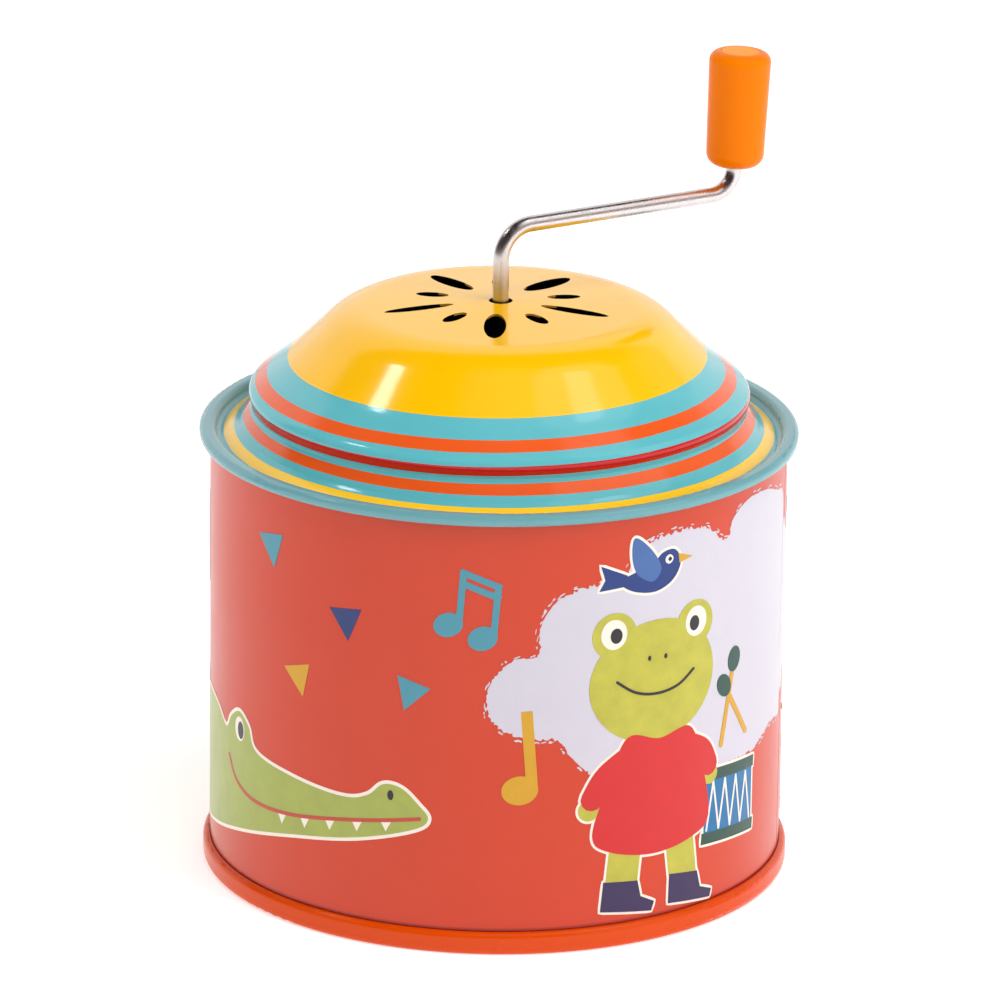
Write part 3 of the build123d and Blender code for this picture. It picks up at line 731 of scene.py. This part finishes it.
def print_crocodile():
    """A plain crocodile in side view that lies along the foot of the wall, round to the back."""
    head = smooth([(-52, 23.6), (-47, 23.0), (-43.6, 21.4), (-41.8, 23.4), (-39.4, 24.7), (-37.0, 23.4),
                   (-35.2, 20.6), (-28, 19.4), (-20, 18.7), (-16.4, 19.5), (-14.2, 21.3), (-11.8, 21.1),
                   (-9.6, 19.2), (-8.3, 17.4), (-10.2, 15.8), (-18, 13.6), (-28, 11.7), (-38, 9.4),
                   (-48, 7.2), (-58, 5.6), (-70, 4.8), (-84, 5.2), (-96, 6.6), (-106, 9.6), (-112, 13.4),
                   (-113.2, 16.4), (-109, 15.0), (-100, 14.2), (-88, 17.6), (-74, 20.6), (-62, 22.6)])
    ridges = [[(x - 2.6, z - 1.2), (x, z + 2.0), (x + 2.2, z - 1.2)]
              for x, z in ((-56, 23.2), (-62, 22.5), (-68, 21.6), (-74, 20.5), (-80, 19.3), (-86, 18.2),
                           (-92, 16.7), (-98, 15.2))]
    feet = [smooth([(x - 3, 8), (x - 2.6, 4.2), (x + 3.4, 3.9), (x + 3.4, 5.4), (x + 0.6, 6.2), (x + 2, 9)])
            for x in (-60, -88)]
    teeth = [[(x, z + 0.1), (x + 1.5, z + 0.35), (x + 0.7, z - 1.2)]
             for x, z in ((-14.5, 16.3), (-18.5, 15.65), (-22.5, 15.0), (-26.5, 14.3), (-30.5, 13.8))]
    mouth = stroke([(-42.5, 18.0), (-40.4, 15.4), (-36, 14.0), (-29, 14.2), (-20, 15.6), (-9.4, 17.3)], 0.5)
    skin = [head] + ridges + feet
    print_film("crocodile_outline", [swell(loop, BOLD_OUTLINE) for loop in skin], INKS["cream"], 1)
    print_film("crocodile_skin", skin, INKS["leaf_green"], 2)
    print_film("crocodile_mouth", [mouth], INKS["mouth_red"], 4)
    print_film("crocodile_teeth", teeth, INKS["cream"], 3)
    print_film("crocodile_eye_white", [oval(-39.3, 22.4, 1.25, 1.6)], INKS["cream"], 3)
    pupils = [oval(-39.0, 22.3, 0.75, 1.15), oval(-13.2, 20.0, 0.4, 0.65)]
    print_film("crocodile_pupils", pupils, INKS["black"], 4)


CLOUD_FRONT = [(-1.2, 33.2), (-0.3, 36.4), (2.2, 38.7), (5.0, 39.4), (5.5, 43.2), (7.8, 46.5), (11.6, 47.9),
               (15.6, 48.0), (17.6, 50.9), (20.6, 52.9), (24.6, 53.4), (29.0, 52.7), (32.4, 50.4),
               (34.0, 52.8), (37.2, 54.3), (42.0, 54.2), (46.6, 52.8), (SEAM_S, 51.0), (SEAM_S, 42),
               (SEAM_S, 33), (SEAM_S, 22.3), (46.8, 22.1), (43.4, 21.6), (40.6, 20.4), (36.6, 20.2),
               (28.0, 20.4), (20.0, 20.6), (13.4, 22.3), (9.8, 25.3), (7.4, 28.0), (3.2, 28.3), (-0.2, 30.3)]
CLOUD_PAST_SEAM = [(SEAM_S + SEAM_GAP, 46.4), (53.4, 45.4), (56.4, 41.8), (57.6, 36.4), (56.2, 31),
                   (53.2, 27.4), (SEAM_S + SEAM_GAP, 25.4)]
CLOUD_BACK = [(72, 33), (73, 37), (77, 39.5), (81, 43.5), (87, 46.5), (93, 45.5), (98, 47.5), (104, 45),
              (106.5, 40.5), (110.5, 37), (110, 32), (105, 29.5), (98, 30.5), (91, 28), (84, 29.5), (77, 29)]
CLOUD_LEFT = [(-100, 27.5), (-99, 31), (-95, 33.2), (-91, 36.4), (-86, 37.5), (-81, 35.4), (-76, 35.8),
              (-72.5, 32.6), (-72, 28.8), (-76, 26.4), (-82, 27), (-88, 25.6), (-94, 25.8)]


def print_wall():
    """Every motif, lowest ink first; a cloud takes a seed and its number of brush flecks."""
    print_cloud("cloud_front", CLOUD_FRONT, 4, 150)
    print_cloud("cloud_past_seam", CLOUD_PAST_SEAM, 7, 20)
    print_cloud("cloud_back", CLOUD_BACK, 9, 50)
    print_cloud("cloud_left", CLOUD_LEFT, 12, 40)
    print_triangles()
    print_note_pair("notes_front", -6.0, 43.1)
    print_note_pair("notes_back", 58.0, 33.0)
    print_note_pair("notes_left", -84.0, 46.5)
    print_gold_note("gold_note_front", 3.1, 21.6)
    print_gold_note("gold_note_back", 92.0, 14.0)
    print_gold_note("gold_note_left", -58.0, 38.0)
    print_crocodile()
    print_frog()
    print_drum("drum_front", 34.4, 15.6)
    print_sticks("sticks_front", [((32.2, 23.2), (34.6, 34.0)), ((37.6, 23.6), (32.6, 31.0))])
    print_drum("drum_back", 62.0, 11.5)
    print_sticks("sticks_back", [((55.0, 21.0), (61.0, 18.6)), ((70.5, 24.0), (64.5, 20.4))])
    print_bird()


print_wall()


# ---- floor, light and camera -----------------------------------------------------------------------
def make_floor():
    mesh = bpy.data.meshes.new("floor")
    corners = [(-1, -1), (1, -1), (1, 1), (-1, 1)]
    mesh.from_pydata([(x * FLOOR_HALF, y * FLOOR_HALF, WALL_LOW) for x, y in corners], [], [(0, 1, 2, 3)])
    floor = bpy.data.objects.new("floor", mesh)
    bpy.context.scene.collection.objects.link(floor)
    material, _, shader = new_material("pale_floor")
    shader.inputs["Base Color"].default_value = (0.9, 0.9, 0.9, 1)
    shader.inputs["Roughness"].default_value = 0.8
    shader.inputs["Specular IOR Level"].default_value = 0.0
    shader.inputs["Emission Color"].default_value = (1, 1, 1, 1)
    shader.inputs["Emission Strength"].default_value = FLOOR_GLOW
    mesh.materials.append(material)
    floor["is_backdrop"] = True


def soft_light(name, direction, distance, size, power, mirrored):
    """A round soft lamp that looks at the tin; one that isn't mirrored lights without a glint."""
    light = bpy.data.lights.new(name, "AREA")
    light.shape = "DISK"
    light.size = size
    light.energy = power
    lamp = bpy.data.objects.new(name, light)
    aim = Vector((0, 0, RIM_TOP * 0.8))
    way = Vector(direction).normalized()
    lamp.location = aim + way * distance
    lamp.rotation_euler = way.to_track_quat("Z", "Y").to_euler()
    lamp.visible_glossy = mirrored
    bpy.context.scene.collection.objects.link(lamp)


def make_world():
    """A dim studio: a white backdrop fills the far side, a grey screen stands at the right."""
    world = bpy.data.worlds.new("studio")
    world.use_nodes = True
    tree = world.node_tree
    way = tree.nodes.new("ShaderNodeTexCoord").outputs["Generated"]
    right, far, up = add(tree, "ShaderNodeSeparateXYZ", {0: way}).outputs
    far = maths(tree, "SUBTRACT", far, maths(tree, "MULTIPLY", right, BACKDROP_SKEW))
    backdrop = between(tree, far, *BACKDROP_EDGE)
    on_screen = maths(tree, "MULTIPLY", between(tree, right, *SCREEN_SIDE), between(tree, up, *SCREEN_TOP))
    room = blend(tree, on_screen, STUDIO_DIM, STUDIO_SCREEN)
    feed(tree, blend(tree, backdrop, room, STUDIO_WHITE), tree.nodes["Background"].inputs["Color"])
    bpy.context.scene.world = world
    bpy.context.scene.view_settings.view_transform = "Standard"


def make_camera():
    """A long lens, a little above the tin, turned by a small roll."""
    data = bpy.data.cameras.new("camera")
    data.sensor_width = 36.0
    data.lens = LENS_LENGTH
    data.clip_start = 0.01
    camera = bpy.data.objects.new("camera", data)
    pitch = math.radians(CAMERA_TILT)
    away = Vector((0, -math.cos(pitch), math.sin(pitch)))
    stand = Matrix.Translation(CAMERA_AIM + away * CAMERA_AWAY)
    facing = away.to_track_quat("Z", "Y").to_matrix().to_4x4()
    camera.matrix_world = stand @ facing @ Matrix.Rotation(math.radians(CAMERA_ROLL), 4, "Z")
    bpy.context.scene.collection.objects.link(camera)
    bpy.context.scene.camera = camera


make_floor()
make_world()
# (name, direction from the tin, distance, size, power, leaves a glint)
LAMPS = [("left_softbox", (-0.608, 0.048, 0.791), 0.6, 0.075, 0.22, True),
         ("right_softbox", (0.55, -0.2, 0.8), 0.6, 0.46, 0.55, True),
         ("right_core", (0.482, -0.109, 0.868), 0.6, 0.12, 0.1, True),
         ("top_fill", (0.1, -0.35, 1.0), 1.2, 0.8, 5.6, False),
         ("right_fill", (1.0, -0.62, 0.5), 1.3, 0.8, 8.0, False),
         ("left_fill", (-1.0, -0.3, 0.45), 1.3, 0.8, 6.6, False)]
for lamp in LAMPS:
    soft_light(*lamp)
make_camera()

sizes = {"cad": cad_box, "visual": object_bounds()}
sizes = {name: [list(map(float, corner)) for corner in box] for name, box in sizes.items()}
